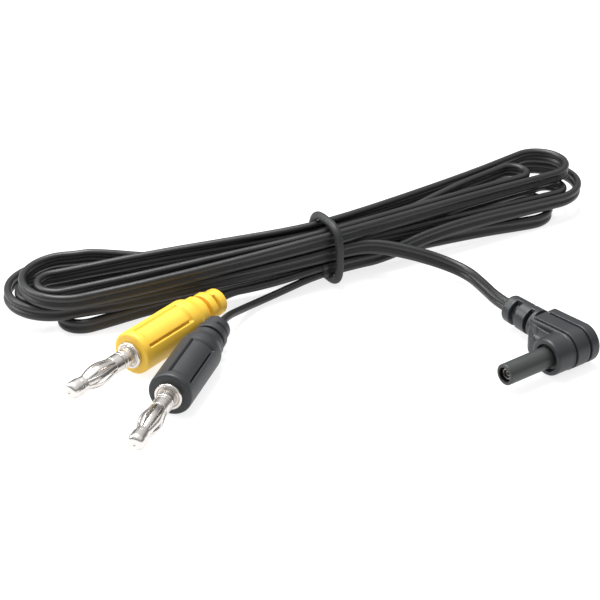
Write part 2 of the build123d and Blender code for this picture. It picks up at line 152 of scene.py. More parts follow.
# %% [markdown]
# ## The way the hank is wound
#
# The cord passes eleven times through the ring, in four columns and three layers, and between two
# passes it runs out, turns and comes back. Each loop has a side, a turn with a centre and a
# radius, a layer, a slight bulge in each of its two runs, and a place where it climbs to another
# layer. A loop over those numbers writes the cord's control points: seven round each turn, one just
# before it and one just after, two on each run and one at each end of the straight waist. The ring
# lies under the cords, so near it they are lifted off the bench, and they sink back toward the
# ends of the hank.

# %% Winding numbers, in mm and degrees
LEAD_D, SINGLE_D = 1.75, 1.7
TIE_AT, TIE_DIR, WAIST, END = (5.9, 10.4), 30.0, 6.0, 3.0
COLUMN_PITCH, LAYER_PITCH, LIFT, LIFT_REACH = 2.1, 3.8, 2.3, 62.0
LEAN = {"L": 0.11, "R": 0.03}
TURN_CORNERS, NEAR_BULGE = 7, 0.6
COLUMN = {"front": -1.5, "mid_front": -0.5, "mid_back": 0.5, "back": 1.5}
PASSES = [("front", 1), ("back", 0), ("mid_front", 0), ("mid_back", 0), ("mid_front", 1),
          ("mid_back", 1), ("mid_front", 2), ("back", 2), ("front", 2), ("back", 1), ("front", 0)]
# One loop a line: side, centre, radius, layer, bulge out and back, and the two shares of the run
# out, then of the run back, between which the cord climbs.
LOOPS = [
    ("L", (-54.2, -5.4), 10.5, 1, -1.2, 0.8, (0.30, 0.80), (0.45, 0.88)),
    ("R", (53.2, 41.3), 7.2, 0, 0.4, 0.9, (0.30, 0.70), (0.30, 0.70)),
    ("L", (-47.8, -10.2), 4.8, 0, 1.0, 0.6, (0.30, 0.70), (0.30, 0.70)),
    ("R", (60.3, 44.3), 3.7, 1, -0.6, -0.4, (0.12, 0.62), (0.30, 0.70)),
    ("L", (-56.9, -7.3), 5.1, 1, -0.5, 0.4, (0.30, 0.70), (0.30, 0.70)),
    ("R", (51.5, 44.1), 3.4, 2.04, -1.2, 0.2, (0.12, 0.62), (0.30, 0.70)),
    ("L", (-53.0, -10.4), 4.4, 2, -0.4, 0.6, (0.30, 0.70), (0.30, 0.60)),
    ("R", (58.3, 49.9), 6.6, 2, -0.8, 0.3, (0.30, 0.70), (0.30, 0.70)),
    ("L", (-51.0, -7.8), 9.9, 2, -0.8, 0.0, (0.30, 0.70), (0.56, 0.88)),
    ("R", (57.8, 47.6), 10.0, 1, 0.5, -0.6, (0.30, 0.70), (0.12, 0.42)),
]
ALONG, ACROSS = unit(TIE_DIR), unit(TIE_DIR + 90)


# %% Winding points
def layer_z(layer):
    """Height of a layer's middle before the ring lifts it."""
    return LEAD_D + LAYER_PITCH * layer


def lifted(spot, z):
    """Point above a bench spot: z plus a share of the lift that falls off away from the ring."""
    away = abs(float(np.dot(np.subtract(spot[:2], TIE_AT), ALONG)))
    share = min(1.0, max(0.0, 1 - (away - WAIST) / (LIFT_REACH - WAIST)))
    return np.array([spot[0], spot[1], z + LIFT * share])


def waist_place(number, away):
    """Point on pass number in the straight waist, away mm along it from the ring."""
    column, layer = PASSES[number]
    return lifted(np.array(TIE_AT) + ALONG * away + ACROSS * COLUMN[column] * COLUMN_PITCH,
                  layer_z(layer))


def waist_end(number, side):
    """Where pass number leaves the waist: a mitred end, further out where a column bends less."""
    reach = WAIST - COLUMN[PASSES[number][0]] * COLUMN_PITCH * LEAN[side]
    return waist_place(number, reach if side == "R" else -reach)


def tangent_angle(spot, centre, radius, sign):
    """Angle, seen from a turn's centre, at which the line from a spot touches the turn."""
    gap = spot[:2] - centre
    return degrees(atan2(gap[1], gap[0])) + sign * degrees(acos(radius / hypot(*gap)))


def run_points(near, spot, near_layer, far_layer, bulge, climb, side):
    """Two points on the run from the waist to a turn: on its line, moved sideways by the bulge,
    the nearer by less."""
    way = spot - near[:2]
    left = np.array([-way[1], way[0]]) / hypot(*way) * (1 if side == "R" else -1)
    return [lifted(near[:2] + way * share + left * bulge * part, layer_z(layer))
            for share, part, layer in ((climb[0], NEAR_BULGE, near_layer),
                                       (climb[1], 1.0, far_layer))]


def loop_points(number):
    """Control points of one loop: start, run out, corners of a polygon round the turn, run back.
    The points before and after the turn mirror its end corners in the places where the runs touch
    it, so the turn starts and ends as evenly as it goes on."""
    side, centre, radius, layer, bulge_in, bulge_out, climb_in, climb_out = LOOPS[number]
    centre = np.array(centre)
    start, stop = waist_end(number, side), waist_end(number + 1, side)
    first = tangent_angle(start, centre, radius, -1)
    last = tangent_angle(stop, centre, radius, +1)
    while last > first:
        last -= 360
    step = (first - last) / TURN_CORNERS
    reach = radius / cos(radians(step / 2))
    turn = [lifted(centre + reach * unit(first - (k + 0.5) * step), layer_z(layer))
            for k in range(TURN_CORNERS)]
    run_in = run_points(start, centre + radius * unit(first), PASSES[number][1], layer,
                        bulge_in, climb_in, side)
    run_out = run_points(stop, centre + radius * unit(last), PASSES[number + 1][1], layer,
                         bulge_out, climb_out, side)
    lead_in, lead_out = (
        [*(2 * (centre + radius * unit(angle)) - corner[:2]), corner[2]]
        for angle, corner in ((first, turn[0]), (last, turn[-1])))
    return [start, *run_in, lead_in, *turn, lead_out, *run_out[::-1], stop]


hank_points = [point for number in range(len(LOOPS)) for point in loop_points(number)]
print("hank: %d control points, %.1f a loop" % (len(hank_points), len(hank_points) / len(LOOPS)))

# %% [markdown]
# ## Routes of the free leads
#
# Outside the hank, the cord runs on in one easy bend to the right-angle plug. At its other end
# the twin is torn into two singles, one above the other, that part for the two banana plugs.
# A few given points are enough for each, ending with a short straight run into a plug.

# %% Routes, in mm
ELBOW_AT, ELBOW_DIR, ELBOW_Z, RELIEF_L = (58.3, -27.2), 127.0, 4.4, 20.1
BANANA = {"yellow": ((-18.13, -8.53), 52.9), "black": ((-17.70, -20.18), 72.2)}
GRIP_L, GRIP_R, LAST_RUN = 28.8, 4.75, 4.3
ELBOW_ROUTE = [(13.0, 10.5, 8.06), (18.5, 11.3, 7.7), (26.0, 10.9, 6.2), (33.0, 10.4, 4.0),
               (38.4, 7.0, 3.0), (41.3, -0.2, 3.5)]
YELLOW_ROUTE = [(2.0, 4.1, 4.92), (-4.0, 0.9, 4.5), (-10.5, -2.3, 4.3)]
BLACK_ROUTE = [(2.0, 4.1, 3.17), (-3.0, 0.9, 2.3), (-8.5, -2.6, 1.4), (-12.9, -8.4, 2.4)]


def into_plug(at, angle, length, z):
    """Last two points of a route: a straight run into a plug whose cord side is length mm away."""
    end = np.array([*(np.array(at) + unit(angle) * length), z])
    return [end + np.array([*(unit(angle) * LAST_RUN), 0]), end]


split = waist_place(len(PASSES) - 1, -END)
to_elbow = into_plug(ELBOW_AT, ELBOW_DIR, RELIEF_L, ELBOW_Z)
twin_route = [split, *hank_points[::-1], *ELBOW_ROUTE, *to_elbow]
single_routes = {
    "yellow": [split + (0, 0, LEAD_D / 2), *YELLOW_ROUTE,
               *into_plug(*BANANA["yellow"], 0, GRIP_R)],
    "black": [split - (0, 0, LEAD_D / 2), *BLACK_ROUTE,
              *into_plug(*BANANA["black"], 0, GRIP_R)],
}
print("twin route: %d points" % len(twin_route))

# %% [markdown]
# ## From route to centre line
#
# A cord never has a corner, so its line is a smooth NURBS spline that the route's points pull
# toward themselves. Blender works the spline out, and its points are read back as an array, with
# the length along the cord at each of them.

# %% Centre lines
TWIN_DETAIL, SINGLE_DETAIL = 12, 16


def centre_line(points, detail):
    """Points along the NURBS spline of order 3 with these control points, in metres."""
    curve = bpy.data.curves.new("route", "CURVE")
    curve.dimensions, curve.resolution_u = "3D", detail
    spline = curve.splines.new("NURBS")
    spline.points.add(len(points) - 1)
    spline.points.foreach_set("co", np.c_[row(points), np.ones(len(points))].ravel())
    spline.order_u, spline.use_endpoint_u = 3, True
    holder = bpy.data.objects.new("route", curve)
    read = bpy.data.meshes.new_from_object(holder)
    line = np.empty(3 * len(read.vertices))
    read.vertices.foreach_get("co", line)
    bpy.data.objects.remove(holder)
    bpy.data.curves.remove(curve)
    bpy.data.meshes.remove(read)
    return line.reshape(-1, 3)


def run_of(line):
    """Length along a line at each of its points."""
    return np.r_[0, np.cumsum(np.linalg.norm(np.diff(line, axis=0), axis=1))]


twin_line = centre_line(twin_route, TWIN_DETAIL)
single_lines = {colour: centre_line(route, SINGLE_DETAIL)
                for colour, route in single_routes.items()}
print("twin: %.0f mm in %d points" % (1000 * run_of(twin_line)[-1], len(twin_line)))

# %% [markdown]
# ## Twin cord
#
# The cord's section is a figure eight: two round insulated conductors joined by a thin web. It
# stands on edge all along the hank, as a flat cord does when it is wound by hand, rolling a few
# degrees this way and that. The section is carried along the centre line, upright, and turned by
# a slow wave of roll that dies out at both ends, where the cord is held.


# %% Sweeping a section
def carried(line, section, roll=0.0):
    """Grid of a section carried along a line. Section points are (sideways, up). At each point of
    the line, up is the vertical made square to the line's direction, and sideways is square to
    both; roll turns the two about the direction."""
    way = np.gradient(line, axis=0)
    way /= np.linalg.norm(way, axis=1)[:, None]
    side = np.cross(way, (0, 0, 1.0))
    side /= np.linalg.norm(side, axis=1)[:, None]
    up = np.cross(side, way)
    c, s = np.cos(roll)[..., None], np.sin(roll)[..., None]
    side, up = side * c + up * s, up * c - side * s
    flat, tall = section[..., 0:1], section[..., 1:2]
    return line[:, None] + side[:, None] * flat + up[:, None] * tall


def lay_of(line, around):
    """Attribute for a swept grid: length along in metres, then cosine and sine around."""
    run = np.repeat(run_of(line)[:, None], len(around), 1)
    turn = np.broadcast_to(around, run.shape)
    return np.stack([run, np.cos(turn), np.sin(turn)], -1)


# %% Twin cord
WEB_T, LOBE_POINTS, HELD_L = 0.8, 15, 0.03
ROLL_WAVES = [(0.07, 61, 0), (0.05, 143, 1)]     # radians, waves in radians a metre, and phase
lobe_r = LEAD_D / 2 * MM
web_angle = acos(WEB_T / LEAD_D)
lobe = np.linspace(-web_angle, pi + web_angle, LOBE_POINTS)
upper = np.stack([lobe_r * np.cos(lobe), lobe_r * (1 + np.sin(lobe))], -1)
eight = np.vstack([upper, -upper])
twin_run = run_of(twin_line)
held = np.clip(np.minimum(twin_run, twin_run[-1] - twin_run) / HELD_L, 0, 1)
twin_roll = held * sum(size * np.sin(twin_run * rate + phase) for size, rate, phase in ROLL_WAVES)
twin_cord = skin("twin_cord", carried(twin_line, eight, twin_roll), slot="cord",
                 lay=lay_of(twin_line, np.r_[lobe, lobe + pi]))
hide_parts("hank", "elbow_lead")

# %% [markdown]
# ## Single leads
#
# Torn off the twin, each conductor is round again. It starts with the very outline of its half of
# the twin and settles to its own slightly thinner size within a few millimetres.

# %% Single leads
SETTLE_L = 0.002
around = np.linspace(0, 2 * pi, 24, endpoint=False)
ring = np.stack([np.cos(around), np.sin(around)], -1)
for colour, line in single_lines.items():
    run = run_of(line)
    radius = SINGLE_D / 2 * MM + (lobe_r - SINGLE_D / 2 * MM) * np.exp(-run / SETTLE_L)
    grid = carried(line, radius[:, None, None] * ring)
    lead = skin(colour + "_single", grid, slot="cord", lay=lay_of(line, around))
    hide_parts(colour + "_lead")

# %% [markdown]
# ## Where the cords start
#
# All three cords leave from the split beside the ring, and each runs from there to its plug.

# %% [markdown]
# ## Rubber ring
#
# One round-section ring holds the eleven passes. Pulled over the bundle it takes a shape between
# a circle and a rounded box, so its centre line is a closed curve of that kind: a superellipse,
# |x/a|^n + |y/b|^n = 1, with a higher n where it goes round a fuller corner of the bundle. Two
# small nubs on its side are what moulding leaves.

# %% Rubber ring
TIE_D, TIE_CLEAR, TIE_SLACK = 1.9, 0.35, 0.75
TOP_N, BACK_N, FRONT_N, TOP_ROOM, UNDER_ROOM = 3.3, 4.8, 3.7, 0.2, 0.04
NUB_AT, NUB_W, NUB_H = (pi - 0.45, pi - 0.15), 0.05, 0.28
tie_r = TIE_D / 2
half_w = COLUMN["back"] * COLUMN_PITCH + LEAD_D / 2 + TIE_CLEAR + tie_r + TIE_SLACK
turn = np.linspace(0, 2 * pi, 240, endpoint=False)
above, behind = np.sin(turn) > 0, np.cos(turn) > 0
box_power = 2 / np.where(above, TOP_N, np.where(behind, BACK_N, FRONT_N))
half_h = LAYER_PITCH + LEAD_D + tie_r + TIE_CLEAR + np.where(above, TOP_ROOM, UNDER_ROOM)
wide = half_w * np.sign(np.cos(turn)) * np.abs(np.cos(turn)) ** box_power
tall = half_h * np.sign(np.sin(turn)) * np.abs(np.sin(turn)) ** box_power
centre = np.array([*TIE_AT, layer_z(1) + LIFT])
ring_line = centre + wide[:, None] * np.array([*ACROSS, 0]) + tall[:, None] * np.array([0, 0, 1.0])
way = np.roll(ring_line, -1, 0) - np.roll(ring_line, 1, 0)
way /= np.linalg.norm(way, axis=1)[:, None]
through = np.array([*ALONG, 0])
outward = np.cross(way, through)
around = np.linspace(0, 2 * pi, 28, endpoint=False)
nubs = sum(np.exp(-((turn - place) / NUB_W) ** 2) for place in NUB_AT)
thick = tie_r * (1 + NUB_H * nubs[:, None] * np.maximum(np.sin(around), 0) ** 3)
tie_grid = (ring_line[:, None] + thick[..., None] * (outward[:, None] * np.cos(around)[:, None]
                                                     + through * np.sin(around)[:, None]))
rubber_ring = skin("rubber_ring", row(tie_grid), loop=True, ride="tie", slot="tie")
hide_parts("hank_tie")

# %% [markdown]
# ## Turned and moulded profiles
#
# Plugs are round, so each of their pieces is a profile turned about the plug's axis. A profile is
# written as a few corners, each with how far its edge is softened. Between corners the line is
# straight, and at a soft corner it follows a quadratic curve that leaves and joins the straights.


# %% Profiles
def soft_profile(corners, step=0.3, bend=7):
    """Points (z, r) along a line with corners (z, r, soft). A soft corner becomes the curve
    (1-t)^2 A + 2t(1-t) C + t^2 B, where A and B lie soft mm before and after the corner C."""
    places = [np.array(corner[:2], float) for corner in corners]
    parts = []
    for k, here in enumerate(places):
        soft = corners[k][2] if len(corners[k]) > 2 else 0
        if soft:
            before, after = here - places[k - 1], places[k + 1] - here
            start = here - before / hypot(*before) * soft
            stop = here + after / hypot(*after) * soft
            t = np.linspace(0, 1, bend)[:, None]
            parts.append((1 - t) ** 2 * start + 2 * t * (1 - t) * here + t ** 2 * stop)
        else:
            parts.append(here[None])
    line = np.vstack(parts)
    dense = [line[:1]]
    for start, stop in zip(line, line[1:]):
        count = max(1, int(np.ceil(hypot(*(stop - start)) / step)))
        dense.append(start + (stop - start) * np.linspace(0, 1, count + 1)[1:, None])
    return np.vstack(dense)


def turned(profile, around):
    """Grid of a profile turned about the z axis: (r cos a, r sin a, z)."""
    z, r = profile[:, :1], profile[:, 1:]
    return np.stack([r * np.cos(around), r * np.sin(around), z + 0 * around], -1)


def turned_lay(profile, around):
    """Attribute for a turned grid: distance along the profile in metres, cosine, sine."""
    return lay_of(np.c_[profile * MM, np.zeros(len(profile))], around)


def smooth(low, high, value):
    """0 before low and 1 after high, with 3t^2 - 2t^3 between. low may be the greater one."""
    t = np.clip((value - low) / (high - low), 0, 1)
    return t * t * (3 - 2 * t)


def within(start, width, soft, value):
    """1 from start over a width, 0 outside, with edges that take soft either way."""
    stop = start + width
    return smooth(start - soft, start + soft, value) * smooth(stop + soft, stop - soft, value)


def narrowed(grid, radius, cut):
    """Turned grid with its radius brought down to the cut."""
    share = cut / np.maximum(radius, 1e-9)
    return grid * np.stack([share, share, np.ones_like(share)], -1)


# %% Plug places
def on_banana(colour, places):
    """Places in a banana plug's own axes as points of the frame. Its z runs from the grip's face
    toward the lead, its x is up and its y is to the right of the lead's direction."""
    entry, heading = BANANA[colour]
    along, right = unit(heading), unit(heading - 90)
    face = np.array(entry) - along * GRIP_L
    x, y, z = places[..., 0], places[..., 1], places[..., 2]
    flat = face + z[..., None] * along + y[..., None] * right
    return row(np.concatenate([flat, (GRIP_R + x)[..., None]], -1))


# %% [markdown]
# ## Banana plug grips
#
# A grip is moulded in soft vinyl: a fat barrel with rolled edges, a short neck, one groove all
# round it and a pair of slots from the sides, which let the tail bend with the lead. On the barrel
# a fine groove frames a plain panel. All of that is one height field: the radius over the angle
# and the place along the axis, from a profile, lowered where the panel and the slots are.

# %% Grip shape
SHOULDER_Z, NECK_Z, NECK_R, TAIL_R, TAIL_END_R = 18.2, 19.9, 3.9, 3.6, 3.05
RING_SLOT_Z, RING_SLOT_W, RING_SLOT_R = 21.9, 1.25, 2.1
SIDE_SLOT_Z, SIDE_SLOT_W, SIDE_SLOT_FLAT = 25.0, 1.35, 0.9
PANEL_FROM, PANEL_TO, PANEL_W, PANEL_TURN = 1.9, 15.4, 5.4, radians(25)
PANEL_GROOVE, PANEL_DEPTH, PANEL_SINK = 0.7, 0.95, 0.2
PIN_BORE_R, PIN_BORE_L = 1.72, 9.0
slot_end = RING_SLOT_Z + RING_SLOT_W
grip_profile = soft_profile([
    (PIN_BORE_L, 0), (PIN_BORE_L, PIN_BORE_R), (0, PIN_BORE_R), (0, GRIP_R, 0.75),
    (SHOULDER_Z, GRIP_R, 0.7), (NECK_Z, NECK_R, 0.6), (RING_SLOT_Z, NECK_R, 0.28),
    (RING_SLOT_Z + 0.1, RING_SLOT_R, 0.25), (slot_end - 0.1, RING_SLOT_R, 0.25),
    (slot_end, TAIL_R, 0.3), (SIDE_SLOT_Z, TAIL_R, 0.2), (SIDE_SLOT_Z + 0.7, TAIL_END_R, 0.2),
    (GRIP_L, TAIL_END_R, 0.8), (GRIP_L, 1.05, 0.15), (GRIP_L - 0.4, 0.88), (GRIP_L - 0.4, 0)],
    step=0.16)


def grip_grid(around):
    """Grip's points: the turned profile, less the panel's groove and sink, and cut flat at the
    slots, where the radius is at most flat / |sin a|."""
    grid = turned(grip_profile, around)
    z, radius = grid[..., 2], np.hypot(grid[..., 0], grid[..., 1])
    across = GRIP_R * np.abs((around - PANEL_TURN + pi) % (2 * pi) - pi) + 0 * z
    over_side, over_end = across - PANEL_W / 2, z - PANEL_TO
    edge = (np.hypot(np.maximum(over_side, 0), np.maximum(over_end, 0))
            + np.minimum(np.maximum(over_side, over_end), 0))
    barrel = smooth(PANEL_FROM - 0.3, PANEL_FROM + 0.5, z) * (radius > GRIP_R - 0.01)
    groove = 1 - smooth(0.35, 0.75, np.abs(edge) / PANEL_GROOVE * 1.5)
    lower = barrel * (PANEL_DEPTH * groove + PANEL_SINK * smooth(0.1, -0.3, edge))
    flat = SIDE_SLOT_FLAT / np.maximum(np.abs(np.sin(around)), 1e-6) + 0 * z
    cut = radius - lower
    cut -= within(SIDE_SLOT_Z, SIDE_SLOT_W, 0.08, z) * np.maximum(cut - flat, 0)
    return narrowed(grid, radius, cut)


# %% Grips
around = np.linspace(0, 2 * pi, 208, endpoint=False)
for colour in BANANA:
    grip = skin(colour + "_moulded_grip", on_banana(colour, grip_grid(around)),
                slot=colour + "_plastic", lay=turned_lay(grip_profile, around))
    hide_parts(colour + "_grip")

# %% [markdown]
# ## Turned pins
#
# The pin is nickel-plated brass. Against the grip it has a dished flange, then a short shank as
# thick as the socket's bore, and a thin stem that the spring turns on. A rounded head is riveted
# on the stem's end and keeps the spring there.

# %% Pins and heads
SHANK_R, SHANK_L, STEM_R, PIN_L, CAP_R, CAP_L = 2.0, 3.9, 1.3, 19.0, 1.9, 3.1
cap_root = CAP_L - PIN_L
pin_profile = soft_profile([
    (PIN_BORE_L - 0.1, 0), (PIN_BORE_L - 0.1, PIN_BORE_R - 0.02), (0.02, PIN_BORE_R - 0.02),
    (0.02, 3.0, 0.12), (-0.95, 3.0, 0.35), (-0.95, 2.5, 0.12), (-0.6, 2.25, 0.15),
    (-0.6, SHANK_R, 0.1), (-2.9, SHANK_R, 0.05), (-3.0, SHANK_R - 0.12, 0.05),
    (-3.2, SHANK_R - 0.12, 0.05), (-3.3, SHANK_R, 0.05), (-SHANK_L, SHANK_R, 0.15),
    (-SHANK_L, STEM_R), (cap_root, STEM_R), (cap_root, 0)], step=0.2)
cap_profile = soft_profile([
    (cap_root, 0), (cap_root, CAP_R, 0.22), (-PIN_L, CAP_R, 1.35), (-PIN_L, 0.4, 0.1),
    (-PIN_L + 0.12, 0.25), (-PIN_L + 0.12, 0)], step=0.15, bend=14)
around = np.linspace(0, 2 * pi, 96, endpoint=False)
for colour in BANANA:
    pin = skin(colour + "_turned_pin", on_banana(colour, turned(pin_profile, around)),
               slot="nickel", lay=turned_lay(pin_profile, around))
    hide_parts(colour + "_core_pin")
    head = skin(colour + "_riveted_head", on_banana(colour, turned(cap_profile, around)),
                slot="nickel", lay=turned_lay(cap_profile, around))
    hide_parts(colour + "_tip_cap")

# %% [markdown]
# ## Lantern springs
#
# The spring is a thin sheet, slit lengthwise and rolled into a tube whose leaves bow outward. Each
# leaf is a strip with a rounded section that keeps its width, so the slits open toward the middle.
# Two collars join the leaves. The spring is the only piece of a plug that moves: it turns.

# %% Lantern springs
LEAVES, LEAF_T, LEAF_W, BULGE_R = 8, 0.22, 1.06, 2.48
FRONT, REAR = cap_root + 0.1, -SHANK_L - 0.1
FRONT_L, REAR_L, NOSE_R, COLLAR_R, CAGE_BORE = 1.2, 2.3, 1.68, 1.97, 1.36
bow_from, bow_to = FRONT + FRONT_L, REAR - REAR_L


def leaf_grid(number):
    """Closed strip: along it, the middle radius rises from the front collar's to the bulge and
    falls to the rear collar's as sin^1.3; around it, an oval section bent to that radius."""
    t = np.linspace(-0.06, 1.06, 60)[:, None]
    bow = np.sin(pi * np.clip(t, 0, 1)) ** 1.3
    base = NOSE_R + (COLLAR_R - NOSE_R) * np.clip(t, 0, 1) - 0.17
    middle = base + (BULGE_R - LEAF_T / 2 - base) * bow
    turn = np.linspace(0, 2 * pi, 24, endpoint=False)
    wide = np.sign(np.cos(turn)) * np.abs(np.cos(turn)) ** 0.6 * LEAF_W / 2
    thick = np.sign(np.sin(turn)) * np.abs(np.sin(turn)) ** 0.6 * LEAF_T / 2
    angle = 2 * pi * (number + 0.5) / LEAVES + wide / middle
    radius = middle + thick
    z = bow_from + (bow_to - bow_from) * t + 0 * radius
    return np.stack([radius * np.cos(angle), radius * np.sin(angle), z], -1)


def collar_profile(start, stop, radius):
    """Closed section of a collar: outer wall with rolled edges, and the bore."""
    middle = (start + stop) / 2
    return soft_profile([(middle, CAGE_BORE), (start, CAGE_BORE, 0.05), (start, radius, 0.12),
                         (stop, radius, 0.12), (stop, CAGE_BORE, 0.05), (middle, CAGE_BORE)],
                        step=0.2)[:-1]


for colour in BANANA:
    name, body, parts = colour + "_lantern_spring", colour + "_spring", []
    for start, stop, radius in ((FRONT, bow_from, NOSE_R), (bow_to, REAR, COLLAR_R)):
        profile = collar_profile(start, stop, radius)
        parts.append((on_banana(colour, turned(profile, around)),
                      turned_lay(profile, around), True))
    for number in range(LEAVES):
        grid = leaf_grid(number)
        line = grid.mean(1) * MM
        lay = lay_of(line, np.linspace(0, 2 * pi, grid.shape[1], endpoint=False))
        parts.append((on_banana(colour, grid), lay, False))
    spring = joined(name, [
        skin("%s_%d" % (name, k), grid, loop=loop, ride=body, slot="nickel", lay=lay)
        for k, (grid, lay, loop) in enumerate(parts)])
    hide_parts(colour + "_spring_cage")

# %% [markdown]
# ## Right-angle plug
#
# The housing is moulded over the contacts in one shot: a block with a round end and two grooves
# round it, a boss that the sleeve comes out of, a low web in the inner corner, and a strain relief
# of rings joined by narrow bridges. Each of them is a surface of its own, with soft edges. They
# overlap, and a voxel remesh melts them into one skin, as one moulding would be. The remesh also
# leaves the small fillets in the inner corners that a mould has.

# %% Plug axes
def on_elbow(places):
    """Places in the right-angle plug's own axes as points of the frame: x toward the cord, y
    toward the tip, z up, from where the two axes cross."""
    x, y, z = places[..., 0], places[..., 1], places[..., 2]
    flat = (np.array(ELBOW_AT) + x[..., None] * unit(ELBOW_DIR)
            + y[..., None] * unit(ELBOW_DIR + 90))
    return row(np.concatenate([flat, (ELBOW_Z + z)[..., None]], -1))


def about_y(grid):
    """Grid turned about z, laid along y."""
    return np.stack([grid[..., 1], grid[..., 2], grid[..., 0]], -1)


def about_x(grid):
    """Grid turned about z, laid along x."""
    return np.stack([grid[..., 2], grid[..., 0], grid[..., 1]], -1)


# %% Housing parts
BODY_R, BODY_BACK, BODY_FRONT, BLOCK_L, BLOCK_END_H = 4.35, 3.6, 4.3, 9.7, 7.2
BOSS_R, BOSS_Y, MOAT_R, MOAT_DEPTH, MOAT_SHIFT = 4.2, 8.6, 3.0, 0.9, 0.25
WEB_X, WEB_Y, WEB_H, WEB_BEND = 10.2, 7.6, 5.2, BODY_FRONT - 0.4
SCOOP_AT, SCOOP_R, SCOOP_DEPTH, RIDGE_H = (9.4, 8.8), 4.3, 0.9, 0.2
BAND_AT, BAND_W, BAND_DEPTH = (-1.0, 3.1), 0.6, 0.65
BACK_SOFT, FRONT_SOFT = 0.9, 0.5


def block_grid():
    """Round-ended, tapering outline seen along y, drawn in by an inset that depends on y: a
    quarter circle at the two ends, and a smooth dip at each groove."""
    y = np.r_[-BODY_BACK + BACK_SOFT * (1 - np.cos(np.linspace(0, pi / 2, 12))),
              np.linspace(-BODY_BACK + BACK_SOFT, BODY_FRONT, 130)[1:]]
    inset = sum(soft - np.sqrt(soft ** 2 - np.clip(soft - depth, 0, soft) ** 2)
                for soft, depth in ((BACK_SOFT, y + BODY_BACK), (FRONT_SOFT, BODY_FRONT - y)))
    for at in BAND_AT:
        inset += BAND_DEPTH * smooth(BAND_W / 2 + 0.06, BAND_W / 2 - 0.06,
                                     np.abs(y - at - BAND_W / 2))
    inset = inset[:, None]
    bend = np.linspace(pi / 2, 3 * pi / 2, 60)
    t = np.linspace(0, 1, 40)
    r, half, length = BODY_R - inset, BLOCK_END_H / 2 - inset, BLOCK_L - 0 * inset
    x = np.hstack([r * np.cos(bend), length * t[1:], length + 0 * t[None, 1:-1], length * t[:0:-1]])
    z = np.hstack([r * np.sin(bend), -r + (r - half) * t[1:], half * (2 * t[None, 1:-1] - 1),
                   half + (r - half) * (1 - t[:0:-1])])
    return np.stack([x, y[:, None] + 0 * x, z], -1)


def boss_grid():
    """Boss turned about y, with a rolled front edge and a recess round the sleeve. The recess
    lies a little off centre, so its gap is wider on the outer side. The boss starts where the
    block's front edge begins to round off."""
    root = BODY_FRONT - FRONT_SOFT
    profile = soft_profile([(root, 0), (root, BOSS_R),
                            (BOSS_Y, BOSS_R, 0.8), (BOSS_Y, MOAT_R, 0.3),
                            (BOSS_Y - MOAT_DEPTH, MOAT_R - 0.2, 0.15), (BOSS_Y - MOAT_DEPTH, 0)],
                           step=0.25)
    grid = about_y(turned(profile, np.linspace(0, 2 * pi, 120, endpoint=False)))
    inside = smooth(BOSS_R - 0.4, MOAT_R, profile[:, 1]) * (profile[:, 0] > BOSS_Y / 2)
    return grid - np.array([MOAT_SHIFT, 0, 0]) * inside[:, None, None]


def web_grid():
    """Web in the inner corner. Its outline's corners are averaged round, and its section is a
    rounded box: share of the outline |sin t|^0.25 at height |cos t|^0.4. The top steps down inside
    a circle, which leaves a crescent edge with a low ridge round the boss."""
    outline = np.array([(0, 0), (WEB_X, 0), (WEB_X, WEB_BEND),
                        (WEB_X - WEB_Y + WEB_BEND, WEB_Y), (0, WEB_Y)])
    middle = outline.mean(0)
    shares = np.linspace(0, 1, 30, endpoint=False)[:, None]
    ring = np.vstack([a + (b - a) * shares for a, b in zip(outline, np.roll(outline, -1, 0))])
    for _ in range(14):
        ring = (np.roll(ring, 1, 0) + 2 * ring + np.roll(ring, -1, 0)) / 4
    t = np.concatenate([np.geomspace(1e-4, 0.3, 24), np.linspace(0.3, pi - 0.3, 40)[1:-1],
                        pi - np.geomspace(0.3, 1e-4, 24)])[:, None, None]
    flat = middle + (ring - middle) * np.sin(t) ** 0.25
    z = -WEB_H / 2 * np.sign(np.cos(t)) * np.abs(np.cos(t)) ** 0.4 + 0 * flat[..., :1]
    away = np.linalg.norm(flat - SCOOP_AT, axis=-1, keepdims=True)
    dent = (SCOOP_DEPTH * smooth(SCOOP_R, SCOOP_R - 0.5, away)
            - RIDGE_H * np.exp(-((away - SCOOP_R - 0.2) / 0.3) ** 2))
    return np.concatenate([flat, z - dent * smooth(0.1 * WEB_H, 0.5 * WEB_H, z)], -1)


# %% Strain relief
SLOTS = [(9.8, 1.0, pi / 2, 2.6), (11.9, 0.9, 0.0, 0.6), (13.9, 1.0, pi, 1.2),
         (16.0, 1.5, 0.0, 0.3)]
RELIEF_ROOT_R, RELIEF_END_R, RELIEF_CORE = 3.6, 3.1, 1.95


def relief_grid(around):
    """Tapering sleeve turned about x. Each slot, given as place, width, side and flat, is cut from
    one side only: there the radius is flat / cos(a - side), but never less than the core's."""
    profile = soft_profile([(BLOCK_L - 0.7, 0), (BLOCK_L - 0.7, RELIEF_ROOT_R - 0.2),
                            (RELIEF_L, RELIEF_END_R, 0.7), (RELIEF_L, 1.9, 0.3),
                            (RELIEF_L - 0.5, 1.7), (RELIEF_L - 0.5, 0)], step=0.1)
    grid = turned(profile, around)
    z, radius = grid[..., 2], np.hypot(grid[..., 0], grid[..., 1])
    cut = radius.copy()
    for at, wide, side, flat in SLOTS:
        lean = np.cos(around - side)
        limit = np.where(lean > 0.02, flat / np.maximum(lean, 0.02), 99)
        cut -= within(at, wide, 0.06, z) * np.maximum(cut - np.maximum(limit, RELIEF_CORE), 0)
    return about_x(narrowed(grid, radius, cut))


# %% Housing
VOXEL, SOFTEN_ROUNDS = 0.00012, 3


